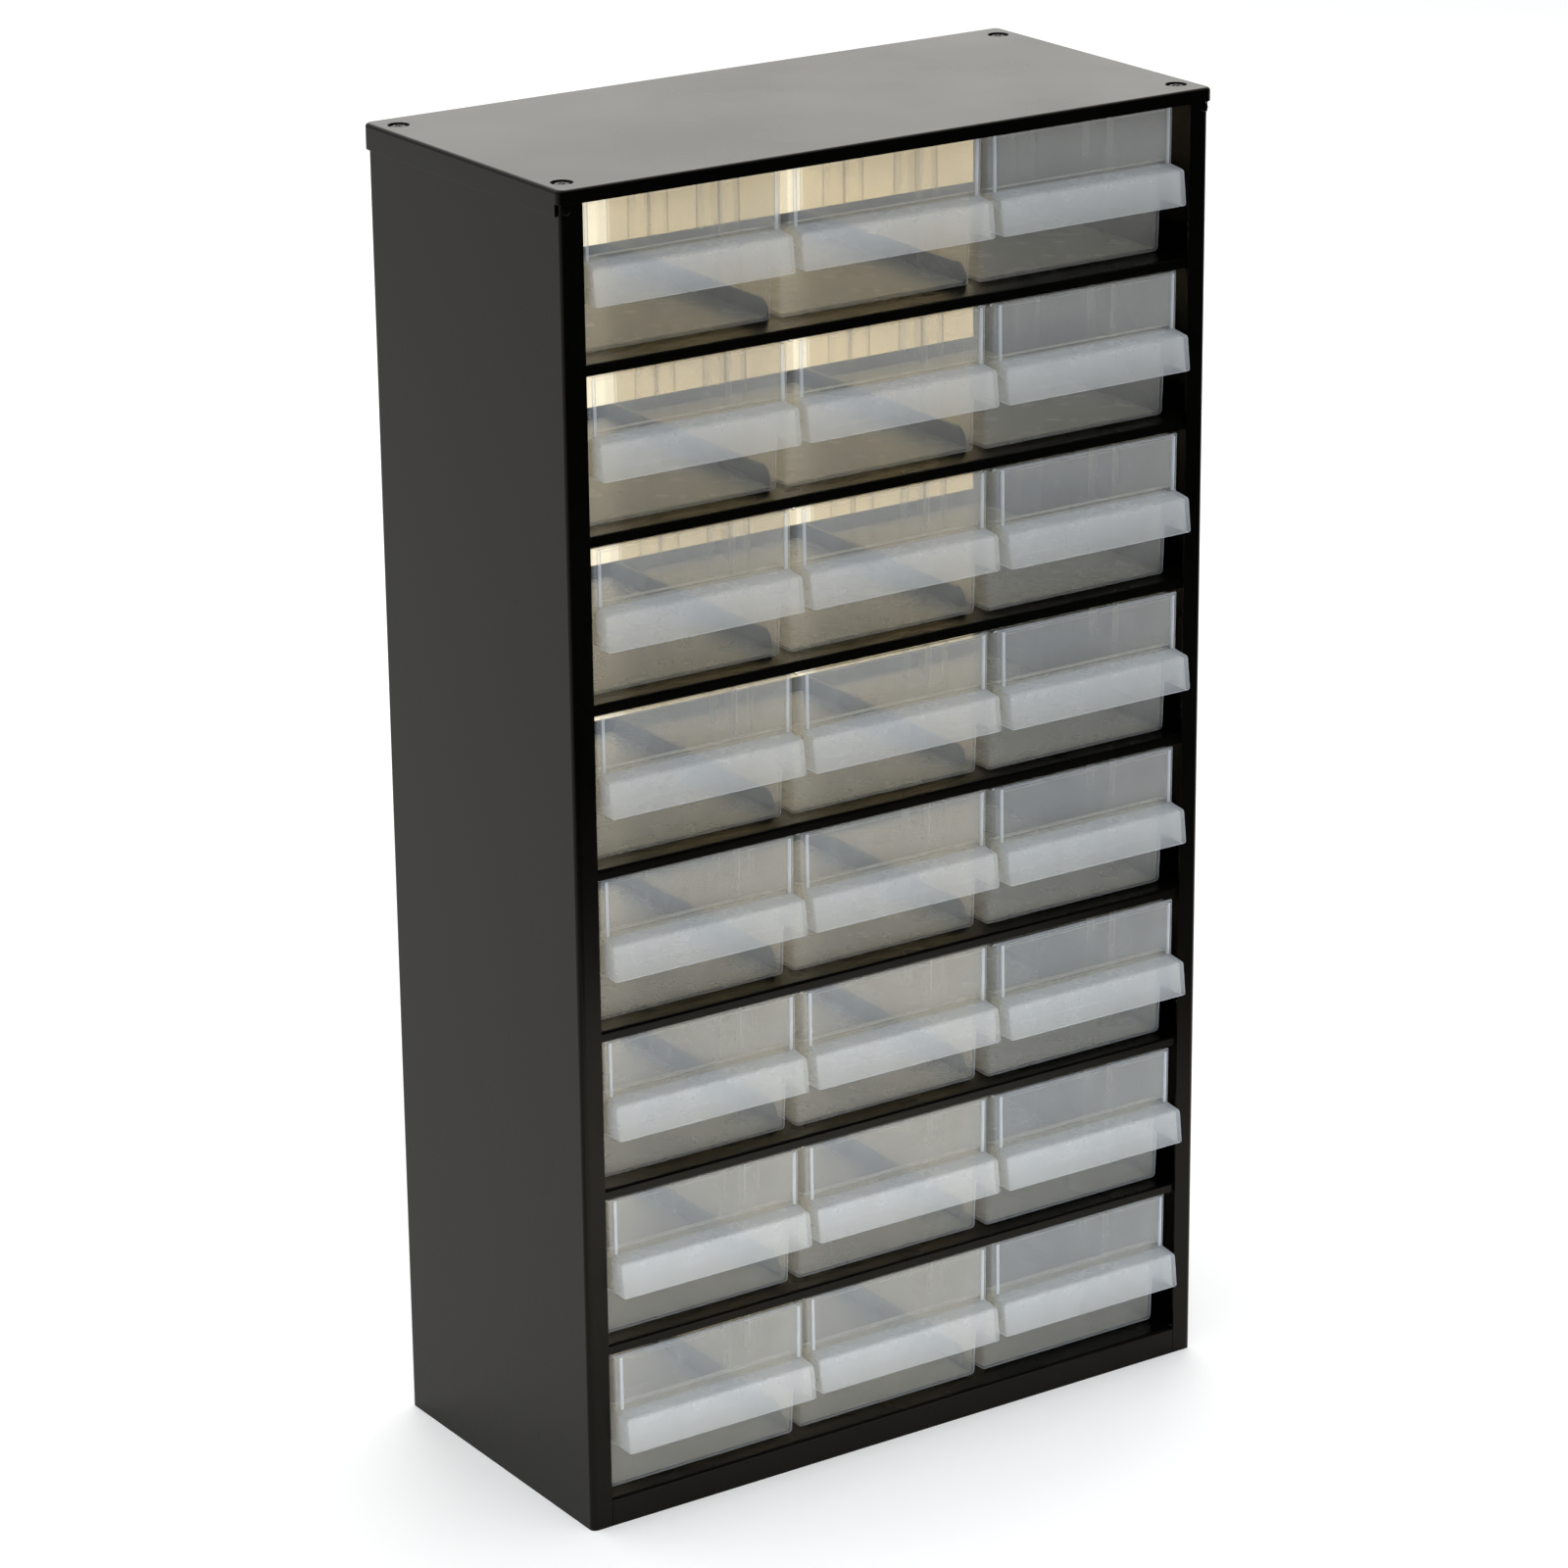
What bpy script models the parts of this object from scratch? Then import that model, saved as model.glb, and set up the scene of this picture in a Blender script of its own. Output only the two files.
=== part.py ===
"""A parts organizer: a folded sheet-steel cabinet with 24 pull-out plastic drawers, 8 rows of 3.

Metres, +Z up, the drawers open towards -Y, +X to the right of someone facing them. The origin is at
the bottom centre of the whole object's box, with every drawer where it stands at rest.
"""

import math

import bmesh
import bpy
from mathutils import Matrix, Vector

MM = 0.001

# Cabinet
HEIGHT = 552 * MM
BODY_WIDTH = 303.4 * MM
BODY_DEPTH = 144.5 * MM
SHEET = 1.0 * MM  # thickness of the steel
GAP = 0.3 * MM  # between pieces that touch
STILE_WIDTH = 9.4 * MM  # the side panel's front flange, beside the drawers
REAR_FLANGE = 12 * MM
BEND = 2.5 * MM  # outer radius of the side panels' bends
TOP_FLANGE = 12 * MM  # the side panel's inward flange that takes the lid's screws
TOP_FLANGE_DROP = 3.1 * MM  # from the lid's top down to that flange

# Lid
LID_SKIRT = 10.5 * MM
LID_FRONT_SKIRT = 5.6 * MM
LID_CORNER = 3.5 * MM
LID_EDGE = 1.6 * MM
SCREW_INSET_X = 9 * MM  # from the lid's side to the screw
SCREW_INSET_Y = 13 * MM
DIMPLE_TOP_RADIUS = 4.4 * MM
DIMPLE_RADIUS = 3.8 * MM
DIMPLE_DEPTH = 1.7 * MM
CUP_RADIUS = 5.6 * MM
SCREW_HOLE_RADIUS = 1.9 * MM
SCREW_RADIUS = 1.5 * MM
SCREW_HEAD_RADIUS = 3.3 * MM
SCREW_HEAD = 1.0 * MM
SCREW_LENGTH = 4.0 * MM

# Rows and columns
ROWS = 8
COLUMNS = 3
ROW_PITCH = 67.33 * MM
LIP = 4.2 * MM  # how far a shelf's front edge is folded down
REAR_LIP = 5 * MM  # how far its rear edge is folded up, as the drawers' stop
COLUMN_PITCH = 94 * MM
SHELF_WIDTH = 296 * MM
RIB_WIDTH = 2.8 * MM
RIB_HEIGHT = 7.5 * MM
RIB_TAPER = 0.4
RIB_END = 5 * MM
RIB_FRONT = 22 * MM
RIB_REAR = 138 * MM
OUTER_RIB_X = 141 * MM
SIDE_FLANGE = 8 * MM

# Drawer: y = 0 is the face of its label panel, z = 0 is its underside
DRAWER_WIDTH = 91 * MM
DRAWER_HEIGHT = 61.5 * MM
DRAWER_LENGTH = 134.4 * MM
SIDE_HEIGHT = 60 * MM
WALL = 1.3 * MM
DRAFT = 0.6 * MM  # how much narrower each side is at the bottom
PANEL = 1.6 * MM
LEDGE_Z = 38.2 * MM
HANDLE_TOP = (-8.5 * MM, 37.2 * MM)
HANDLE_BOTTOM = (-10.5 * MM, 22.2 * MM)
TOE_Y = 6.0 * MM  # the lower panel stands this far behind the label panel
TOE_LEAN = 0.8 * MM
STOP_HEIGHT = 63.9 * MM
STOP_SETBACK = 19.3 * MM  # from the drawer's back to the catch on its side walls
STOP_LENGTH = 3 * MM
CLOSED_SETBACK = 7.5 * MM  # a closed drawer's label panel, behind the cabinet's front

# How far each drawer stands out of its closed place at rest, row 1 at the top, left to right
STANDS_OUT_MM = (
    (0, 0, 0),
    (3, 3, 4),
    (4, 4, 6),
    (4, 5, 7),
    (4, 4, 6),
    (4, 5, 7),
    (5, 5, 6),
    (7, 5, 4),
)
FARTHEST_OUT = max(max(row) for row in STANDS_OUT_MM) * MM

LID_OVERHANG = SHEET + GAP
LID_WIDTH = BODY_WIDTH + 2 * LID_OVERHANG
LID_DEPTH = BODY_DEPTH + 2 * LID_OVERHANG
BODY_TOP = HEIGHT - SHEET - GAP
OPENING_TOP = HEIGHT - LID_FRONT_SKIRT
HANDLE_REACH = FARTHEST_OUT - CLOSED_SETBACK - HANDLE_BOTTOM[0]
FRONT_Y = (HANDLE_REACH - BODY_DEPTH - LID_OVERHANG) / 2
BACK_Y = FRONT_Y + BODY_DEPTH

BLACK = (0.012, 0.012, 0.013, 1.0)
FROSTED = (0.70, 0.72, 0.72, 1.0)
DARK_STEEL = (0.06, 0.06, 0.06, 1.0)


def clear_scene():
    for obj in list(bpy.data.objects):
        bpy.data.objects.remove(obj, do_unlink=True)


def collection(name):
    made = bpy.data.collections.new(name)
    bpy.context.scene.collection.children.link(made)
    return made


def material(name, colour, roughness, metallic):
    made = bpy.data.materials.new(name)
    made.use_nodes = True
    shader = made.node_tree.nodes["Principled BSDF"]
    shader.inputs["Base Color"].default_value = colour
    shader.inputs["Roughness"].default_value = roughness
    shader.inputs["Metallic"].default_value = metallic
    return made


def floor_z(row):
    """Top of the steel that row's drawers stand on; row 1 is the top one."""
    return OPENING_TOP - ROW_PITCH * row + LIP


def rounded(points, segments=4):
    """The outline through (a, b, radius) points, with an arc of that radius at each corner."""
    out = []
    count = len(points)
    for i, (a, b, radius) in enumerate(points):
        here = Vector((a, b))
        if radius == 0:
            out.append(here)
            continue
        before = (Vector(points[i - 1][:2]) - here).normalized()
        after = (Vector(points[(i + 1) % count][:2]) - here).normalized()
        half = before.angle(after) / 2
        centre = here + (before + after).normalized() * radius / math.sin(half)
        start = here + before * radius / math.tan(half) - centre
        end = here + after * radius / math.tan(half) - centre
        sweep = start.angle_signed(end)
        for k in range(segments + 1):
            out.append(centre + Matrix.Rotation(-sweep * k / segments, 2) @ start)
    return out


def link(name, mesh, group, place=(0, 0, 0)):
    obj = bpy.data.objects.new(name, mesh)
    obj.location = place
    group.objects.link(obj)
    return obj


def mesh_from(name, bm):
    bmesh.ops.recalc_face_normals(bm, faces=bm.faces)
    mesh = bpy.data.meshes.new(name)
    bm.to_mesh(mesh)
    bm.free()
    return mesh


def strip(name, path, low, high, to_point, thickness, group):
    """A folded sheet: an open surface swept along a path, thickened towards the path's right."""
    bm = bmesh.new()
    rows = [[bm.verts.new(to_point(p, s)) for p in path] for s in (low, high)]
    for i in range(len(path) - 1):
        bm.faces.new((rows[1][i], rows[1][i + 1], rows[0][i + 1], rows[0][i]))
    mesh = bpy.data.meshes.new(name)
    bm.to_mesh(mesh)
    bm.free()
    obj = link(name, mesh, group)
    solid = obj.modifiers.new("Sheet", "SOLIDIFY")
    solid.thickness = thickness
    solid.offset = -1
    solid.use_even_offset = True
    return obj


def block(name, low, high, group):
    """A box between two corners."""
    bm = bmesh.new()
    bmesh.ops.create_cube(bm, size=1)
    middle = [(a + b) / 2 for a, b in zip(low, high)]
    for v in bm.verts:
        v.co = Vector([m + c * (b - a) for m, c, a, b in zip(middle, v.co, low, high)])
    return link(name, mesh_from(name, bm), group)


def cones(name, centres, radius_low, radius_high, low, high, group, segments=24):
    """Upright cylinders or cones, one at each (x, y), as one object."""
    bm = bmesh.new()
    for x, y in centres:
        bmesh.ops.create_cone(
            bm,
            cap_ends=True,
            segments=segments,
            radius1=radius_low,
            radius2=radius_high,
            depth=high - low,
            matrix=Matrix.Translation((x, y, (low + high) / 2)),
        )
    return link(name, mesh_from(name, bm), group)


def prism(name, outline, half_width, group):
    """A flat outline in (y, z), extruded along X, as a mesh with its caps welded."""
    curve = bpy.data.curves.new(name, "CURVE")
    curve.dimensions = "2D"
    curve.fill_mode = "BOTH"
    curve.extrude = half_width
    spline = curve.splines.new("POLY")
    spline.points.add(len(outline) - 1)
    for point, (y, z) in zip(spline.points, outline):
        point.co = (y, z, 0, 1)
    spline.use_cyclic_u = True
    guide = link(name + "_outline", curve, group)
    guide.matrix_world = Matrix(((0, 0, 1, 0), (1, 0, 0, 0), (0, 1, 0, 0), (0, 0, 0, 1)))
    bpy.context.view_layer.update()
    mesh = bpy.data.meshes.new_from_object(guide.evaluated_get(bpy.context.evaluated_depsgraph_get()))
    mesh.transform(guide.matrix_world)
    bpy.data.objects.remove(guide)
    bm = bmesh.new()
    bm.from_mesh(mesh)
    bpy.data.meshes.remove(mesh)
    bmesh.ops.remove_doubles(bm, verts=bm.verts, dist=1e-6)
    return link(name, mesh_from(name, bm), group)


def combine(target, other, operation):
    """Adds a Boolean of another object, which becomes a hidden cutter."""
    boolean = target.modifiers.new(operation.title(), "BOOLEAN")
    boolean.operation = operation
    boolean.object = other
    boolean.solver = "EXACT"
    other.hide_render = True
    other.display_type = "WIRE"


def baked(obj, name, smooth_below=30):
    """The object's mesh with its modifiers worked out, to be shared by copies."""
    bpy.context.view_layer.update()
    mesh = bpy.data.meshes.new_from_object(obj.evaluated_get(bpy.context.evaluated_depsgraph_get()))
    mesh.name = name
    mesh.shade_smooth()
    mesh.set_sharp_from_angle(angle=math.radians(smooth_below))
    obj.hide_render = True
    obj.display_type = "WIRE"
    return mesh


def finish(obj, surface):
    obj.data.materials.clear()
    obj.data.materials.append(surface)
    obj.data.shade_smooth()
    obj.data.set_sharp_from_angle(angle=math.radians(30))


def screw_places():
    x = LID_WIDTH / 2 - SCREW_INSET_X
    front = FRONT_Y - LID_OVERHANG + SCREW_INSET_Y
    back = BACK_Y + LID_OVERHANG - SCREW_INSET_Y
    return {
        "front_left": (-x, front),
        "front_right": (x, front),
        "rear_left": (-x, back),
        "rear_right": (x, back),
    }


def side_panel(name, side, surface, parts, cutters):
    """A channel: the front stile, the side and the rear flange, with a flange at the top for the lid."""
    x = side * BODY_WIDTH / 2
    stile_x = x - side * STILE_WIDTH
    rear_x = x - side * REAR_FLANGE
    path = rounded(
        [(stile_x, FRONT_Y, 0), (x, FRONT_Y, BEND), (x, BACK_Y, BEND), (rear_x, BACK_Y, 0)]
    )
    if side > 0:
        path.reverse()
    panel = strip(name, path, 0, BODY_TOP, lambda p, s: (p.x, p.y, s), SHEET, parts)
    top = HEIGHT - TOP_FLANGE_DROP
    inner, outer = sorted((x - side * TOP_FLANGE, x - side * SHEET / 2))
    flange = block(
        name + "_flange",
        (inner, FRONT_Y + 2 * BEND, top - SHEET),
        (outer, BACK_Y - 2 * BEND, top),
        cutters,
    )
    own_screws = [place for place in screw_places().values() if place[0] * side > 0]
    holes = cones(
        name + "_holes",
        own_screws,
        SCREW_HOLE_RADIUS,
        SCREW_HOLE_RADIUS,
        top - 3 * SHEET,
        top + SHEET,
        cutters,
    )
    combine(panel, flange, "UNION")
    combine(panel, holes, "DIFFERENCE")
    finish(panel, surface)


def lid(surface, parts, cutters):
    """A cap over the body: a flat top with rounded edges and a skirt, shorter at the front."""
    bm = bmesh.new()
    bmesh.ops.create_cube(bm, size=1)
    middle_y = (FRONT_Y + BACK_Y) / 2
    for v in bm.verts:
        v.co.x *= LID_WIDTH
        v.co.y = middle_y + v.co.y * LID_DEPTH
        v.co.z = HEIGHT + (v.co.z - 0.5) * LID_SKIRT
    bottom = [f for f in bm.faces if f.normal.z < -0.5]
    bmesh.ops.delete(bm, geom=bottom, context="FACES_ONLY")
    upright = [e for e in bm.edges if abs(e.verts[0].co.z - e.verts[1].co.z) > LID_SKIRT / 2]
    bmesh.ops.bevel(bm, geom=upright, offset=LID_CORNER, segments=5, affect="EDGES", profile=0.5)
    rim = [e for e in bm.edges if all(abs(v.co.z - HEIGHT) < 1e-6 for v in e.verts)]
    bmesh.ops.bevel(bm, geom=rim, offset=LID_EDGE, segments=3, affect="EDGES", profile=0.5)
    cap = link("lid", mesh_from("lid", bm), parts)
    solid = cap.modifiers.new("Sheet", "SOLIDIFY")
    solid.thickness = SHEET
    solid.offset = -1
    solid.use_even_offset = True
    places = list(screw_places().values())
    floor = HEIGHT - DIMPLE_DEPTH
    cups = cones("lid_cups", places, CUP_RADIUS, CUP_RADIUS, floor - SHEET, HEIGHT - SHEET / 2, cutters)
    slope = (DIMPLE_TOP_RADIUS - DIMPLE_RADIUS) / DIMPLE_DEPTH
    above = 2 * MM
    dimples = cones(
        "lid_dimples",
        places,
        DIMPLE_RADIUS,
        DIMPLE_TOP_RADIUS + slope * above,
        floor,
        HEIGHT + above,
        cutters,
    )
    holes = cones(
        "lid_holes",
        places,
        SCREW_HOLE_RADIUS,
        SCREW_HOLE_RADIUS,
        floor - 2 * SHEET,
        floor + SHEET / 2,
        cutters,
    )
    front_cut = block(
        "lid_front_cut",
        (-LID_WIDTH, FRONT_Y - 3 * BEND, HEIGHT - 2 * LID_SKIRT),
        (LID_WIDTH, FRONT_Y + BEND, OPENING_TOP),
        cutters,
    )
    combine(cap, cups, "UNION")
    combine(cap, dimples, "DIFFERENCE")
    combine(cap, holes, "DIFFERENCE")
    combine(cap, front_cut, "DIFFERENCE")
    finish(cap, surface)


def lid_screws(surface, parts, cutters):
    """A pan head in each dimple, with a cross recess, and its shank down through the side's flange."""
    seat = HEIGHT - DIMPLE_DEPTH + GAP
    top = seat + SCREW_HEAD
    slot = 0.45 * MM
    for corner, (x, y) in screw_places().items():
        name = "lid_screw_" + corner
        head = cones(
            name, [(x, y)], SCREW_HEAD_RADIUS, SCREW_HEAD_RADIUS * 0.86, seat, top, parts, segments=20
        )
        shank = cones(
            name + "_shank",
            [(x, y)],
            SCREW_RADIUS * 0.6,
            SCREW_RADIUS,
            seat - SCREW_LENGTH,
            seat + SCREW_HEAD / 2,
            cutters,
            segments=12,
        )
        combine(head, shank, "UNION")
        for axis, half_size in (("x", (2 * MM, slot)), ("y", (slot, 2 * MM))):
            cross = block(
                name + "_slot_" + axis,
                (x - half_size[0], y - half_size[1], top - SCREW_HEAD / 2),
                (x + half_size[0], y + half_size[1], top + SCREW_HEAD),
                cutters,
            )
            combine(head, cross, "DIFFERENCE")
        finish(head, surface)


def add_ribs(target, name, z, cutters):
    """Four upright ribs with rounded ends that keep the drawers in their lanes."""
    inner = COLUMN_PITCH / 2
    front, rear = FRONT_Y + RIB_FRONT, FRONT_Y + RIB_REAR
    outline = rounded(
        [
            (front, -SHEET / 2, 0),
            (front, RIB_HEIGHT, RIB_END),
            (rear, RIB_HEIGHT, RIB_END),
            (rear, -SHEET / 2, 0),
        ]
    )
    for i, x in enumerate((-OUTER_RIB_X, -inner, inner, OUTER_RIB_X)):
        rib = prism(f"{name}_rib_{i + 1}", outline, RIB_WIDTH / 2, cutters)
        for v in rib.data.vertices:
            v.co.x *= 1 - RIB_TAPER * max(v.co.z, 0) / RIB_HEIGHT
        rib.data.transform(Matrix.Translation((x, 0, z)))
        combine(target, rib, "UNION")


def add_side_flanges(target, name, start_x, z, drop, cutters):
    """The strips along a shelf's ends, folded down beside the side panels."""
    wall_x = BODY_WIDTH / 2 - SHEET - GAP
    z -= 0.1 * MM
    for side, word in ((-1, "left"), (1, "right")):
        path = rounded([(side * start_x, z, 0), (side * wall_x, z, 1.5 * MM), (side * wall_x, z - drop, 0)])
        if side > 0:
            path.reverse()
        flange = strip(
            f"{name}_{word}",
            path,
            FRONT_Y + 2 * BEND,
            BACK_Y - 2 * BEND,
            lambda p, s: (p.x, s, p.y),
            SHEET,
            cutters,
        )
        combine(target, flange, "UNION")


def shelf_mesh(surface, cutters):
    """A shelf whose top is at z = 0: front edge folded down, rear edge up, sides down."""
    front = FRONT_Y + SHEET + GAP
    rear = BACK_Y - SHEET - GAP - SHEET
    path = rounded([(front, -LIP, 0), (front, 0, 1.2 * MM), (rear, 0, 1 * MM), (rear, REAR_LIP, 0)])
    half = SHELF_WIDTH / 2
    sheet = strip("shelf_form", path, -half, half, lambda p, s: (s, p.x, p.y), SHEET, cutters)
    add_ribs(sheet, "shelf", 0, cutters)
    add_side_flanges(sheet, "shelf", half - SHEET, 0, SIDE_FLANGE, cutters)
    mesh = baked(sheet, "shelf")
    mesh.materials.append(surface)
    return mesh


def base_pan(surface, parts, cutters):
    """The bottom: its front edge is folded down flush between the stiles, and stands on the ground."""
    top = floor_z(ROWS)
    rear = BACK_Y - SHEET - GAP
    path = rounded([(FRONT_Y, 0, 0), (FRONT_Y, top, 1.5 * MM), (rear, top, 1.5 * MM), (rear, 0, 0)])
    half = BODY_WIDTH / 2 - STILE_WIDTH - GAP
    pan = strip("base_pan", path, -half, half, lambda p, s: (s, p.x, p.y), SHEET, parts)
    add_ribs(pan, "base", top, cutters)
    add_side_flanges(pan, "base", half - SHEET, top, top - SHEET, cutters)
    finish(pan, surface)


def drawer_mesh(surface, cutters):
    """The drawer, cut from one stepped outline: a tray with a label panel, a handle and a toe space."""
    length = DRAWER_LENGTH
    stop = length - STOP_SETBACK
    body = prism(
        "drawer_form",
        rounded(
            [
                (0, DRAWER_HEIGHT, 0.6 * MM),
                (PANEL, DRAWER_HEIGHT, 0.6 * MM),
                (2 * PANEL, SIDE_HEIGHT, 0),
                (stop, SIDE_HEIGHT, 0),
                (stop, STOP_HEIGHT, 0),
                (stop + STOP_LENGTH, STOP_HEIGHT, 0),
                (stop + 2 * STOP_LENGTH, SIDE_HEIGHT, 0),
                (length, SIDE_HEIGHT, 0),
                (length, 0, 2 * MM),
                (TOE_Y + TOE_LEAN, 0, 2 * MM),
                (TOE_Y, HANDLE_BOTTOM[1], 0),
                (*HANDLE_BOTTOM, 0.6 * MM),
                (*HANDLE_TOP, 1 * MM),
                (0, LEDGE_Z, 1 * MM),
            ],
            segments=3,
        ),
        DRAWER_WIDTH / 2,
        cutters,
    )
    inside = DRAWER_WIDTH / 2 - WALL
    above = DRAWER_HEIGHT + 10 * MM
    cavity = prism(
        "drawer_cavity",
        rounded(
            [
                (PANEL, above, 0),
                (length - WALL, above, 0),
                (length - WALL, WALL, 2 * MM),
                (TOE_Y + TOE_LEAN + WALL, WALL, 2 * MM),
                (TOE_Y + WALL, LEDGE_Z, 0.8 * MM),
                (PANEL, LEDGE_Z + 0.6 * MM, 0.6 * MM),
            ],
            segments=3,
        ),
        inside,
        cutters,
    )
    finger_y = TOE_Y - 0.5 * MM
    finger_top = LEDGE_Z - 1.3 * MM
    below = HANDLE_BOTTOM[1] - 3 * MM
    grip = prism(
        "drawer_grip",
        rounded(
            [
                (finger_y, below, 0),
                (HANDLE_BOTTOM[0] + WALL - 0.3 * MM, below, 0),
                (HANDLE_TOP[0] + WALL, finger_top - 1 * MM, 0.8 * MM),
                (finger_y, finger_top, 0.8 * MM),
            ],
            segments=3,
        ),
        inside,
        cutters,
    )
    combine(body, cavity, "DIFFERENCE")
    combine(body, grip, "DIFFERENCE")
    mesh = baked(body, "drawer")
    for v in mesh.vertices:
        v.co.x *= 1 - DRAFT / (DRAWER_WIDTH / 2) * (1 - v.co.z / DRAWER_HEIGHT)
    mesh.materials.append(surface)
    return mesh


def main():
    clear_scene()
    parts = collection("parts_organizer")
    cutters = collection("cutters")
    black = material("black_powder_coat", BLACK, 0.38, 0.0)
    frosted = material("frosted_plastic", FROSTED, 0.35, 0.0)
    steel = material("dark_steel", DARK_STEEL, 0.4, 0.8)

    side_panel("left_side", -1, black, parts, cutters)
    side_panel("right_side", 1, black, parts, cutters)
    lid(black, parts, cutters)
    lid_screws(steel, parts, cutters)
    base_pan(black, parts, cutters)

    shelf = shelf_mesh(black, cutters)
    for row in range(1, ROWS):
        link(f"shelf_{row}", shelf, parts, (0, 0, floor_z(row)))

    drawer = drawer_mesh(frosted, cutters)
    for row in range(1, ROWS + 1):
        for column in range(1, COLUMNS + 1):
            out = STANDS_OUT_MM[row - 1][column - 1] * MM
            place = (
                (column - 2) * COLUMN_PITCH,
                FRONT_Y + CLOSED_SETBACK - out,
                floor_z(row) + GAP,
            )
            link(f"drawer_r{row}_c{column}", drawer, parts, place)


main()
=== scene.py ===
"""The looks of a parts organizer: black powder-coated sheet steel around frosted plastic drawers.

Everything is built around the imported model, in metres and in its frame: +Z is up, and the drawers
come out along -Y.
"""

import math

import bmesh
import bpy
from mathutils import Matrix, Vector

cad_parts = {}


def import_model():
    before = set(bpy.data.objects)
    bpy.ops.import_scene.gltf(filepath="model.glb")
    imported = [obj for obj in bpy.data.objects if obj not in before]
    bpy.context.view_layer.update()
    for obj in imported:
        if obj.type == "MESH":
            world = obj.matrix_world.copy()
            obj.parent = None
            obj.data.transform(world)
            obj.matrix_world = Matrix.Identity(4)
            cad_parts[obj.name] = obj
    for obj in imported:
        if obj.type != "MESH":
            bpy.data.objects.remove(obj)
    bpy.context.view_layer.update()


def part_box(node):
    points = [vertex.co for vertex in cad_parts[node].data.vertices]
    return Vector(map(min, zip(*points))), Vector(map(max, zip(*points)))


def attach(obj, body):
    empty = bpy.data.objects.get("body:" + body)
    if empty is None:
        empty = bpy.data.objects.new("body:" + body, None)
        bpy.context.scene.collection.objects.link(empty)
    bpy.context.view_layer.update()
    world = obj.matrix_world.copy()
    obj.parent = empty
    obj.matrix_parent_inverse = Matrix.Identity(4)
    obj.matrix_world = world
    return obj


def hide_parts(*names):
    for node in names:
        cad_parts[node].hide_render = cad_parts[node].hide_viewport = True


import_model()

MM = 0.001
ROWS = 8
COLUMNS = 3

# Sheet steel, as in the CAD model
SHEET = 1.0 * MM
GAP = 0.3 * MM
BEND = 2.5 * MM
STILE_WIDTH = 9.4 * MM
REAR_FLANGE = 12 * MM
TOP_FLANGE = 12 * MM
TOP_FLANGE_DROP = 3.1 * MM
LID_SKIRT = 10.5 * MM
LID_FRONT_SKIRT = 5.6 * MM
LID_CORNER = 3.5 * MM
LID_EDGE = 1.6 * MM
SCREW_INSET_X = 9 * MM
SCREW_INSET_Y = 13 * MM
DIMPLE_TOP_RADIUS = 4.4 * MM
DIMPLE_RADIUS = 3.8 * MM
DIMPLE_DEPTH = 1.7 * MM
CUP_RADIUS = 5.6 * MM
SCREW_HOLE_RADIUS = 1.9 * MM
SCREW_RADIUS = 1.5 * MM
SCREW_HEAD_RADIUS = 3.3 * MM
SCREW_HEAD = 1.0 * MM
SCREW_LENGTH = 4.0 * MM
LIP = 4.2 * MM
REAR_LIP = 5 * MM
LANE = 94 * MM
SHELF_WIDTH = 296 * MM
RIB_WIDTH = 2.8 * MM
RIB_HEIGHT = 7.5 * MM
RIB_TAPER = 0.4
RIB_END = 5 * MM
RIB_FRONT = 22 * MM
RIB_REAR = 138 * MM
OUTER_RIB_X = 141 * MM
SIDE_FLANGE = 8 * MM
FLANGE_SINK = 0.1 * MM  # how far a side flange is let into the sheet it hangs from
FLANGE_BEND = 1.5 * MM
SHELF_FRONT_BEND = 1.2 * MM
SHELF_REAR_BEND = 1.0 * MM
BASE_BEND = 1.5 * MM
EDGE = 0.18 * MM  # how far the paint rounds a sheared edge
SCREW_EDGE = 0.08 * MM
RECESS_LONG = 2.0 * MM  # half the length of a slot of the cross recess, and half its width
RECESS_SHORT = 0.42 * MM
WELD = (149.4 * MM, 543.9 * MM)  # the spot at each stile's top: x and z
WELD_RADIUS = 1.7 * MM
WELD_FLATNESS = 0.3
CLEARANCE = 2 * MM  # how far a cutter reaches past the surface that it cuts

# Drawer: y = 0 is the face of its label panel, z = 0 its underside
DRAWER_WIDTH = 91 * MM
DRAWER_HEIGHT = 61.5 * MM
DRAWER_LENGTH = 134.4 * MM
SIDE_HEIGHT = 60 * MM
WALL = 1.3 * MM
DRAFT = 0.6 * MM
PANEL = 1.6 * MM
LEDGE_Z = 38.2 * MM
HANDLE_TOP = (-8.5 * MM, 37.2 * MM)
HANDLE_BOTTOM = (-10.5 * MM, 22.2 * MM)
TOE_Y = 6.0 * MM
TOE_LEAN = 0.8 * MM
STOP_HEIGHT = 63.9 * MM
STOP_SETBACK = 19.3 * MM
STOP_LENGTH = 3 * MM
OUTSIDE_ROUNDING = 2.2 * MM
LEDGE_EDGE = 5 * MM  # the ledge's edges are longer than this from front to back
TOE_EDGE = 10 * MM  # the toe's upright edges are taller than this
INSIDE_ROUNDING = 1.0 * MM
GRIP_ROUNDING = 0.7 * MM
RIM_ROUNDING = 0.45 * MM
HOLD_STEP = 0.6 * MM  # how far the inside of the ledge slopes down from the label panel
GRIP_DEPTH = 0.5 * MM  # how far the finger hollow is sunk into the lower panel
GRIP_ROOF = 1.3 * MM  # how thick the ledge is above the finger hollow
GRIP_SLOPE = 1.0 * MM  # how far the hollow's top drops towards the pull
GRIP_THINNING = 0.3 * MM  # how much thinner the pull's lower edge is than a wall
FRAME_INSET = 2.0 * MM  # from the label panel's ends to the raised frame round the card
FRAME_DROP = 0.5 * MM  # from the label panel's top to the frame's top bar
BAR_WIDTH = 1.2 * MM
BAR_PROUD = 0.5 * MM
STRIP_WIDTH = 1.4 * MM  # the frame's strips at the panel's ends
STRIP_PROUD = 0.8 * MM
STRIP_DROP = 0.1 * MM  # from the bar's top to the strips' tops
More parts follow.
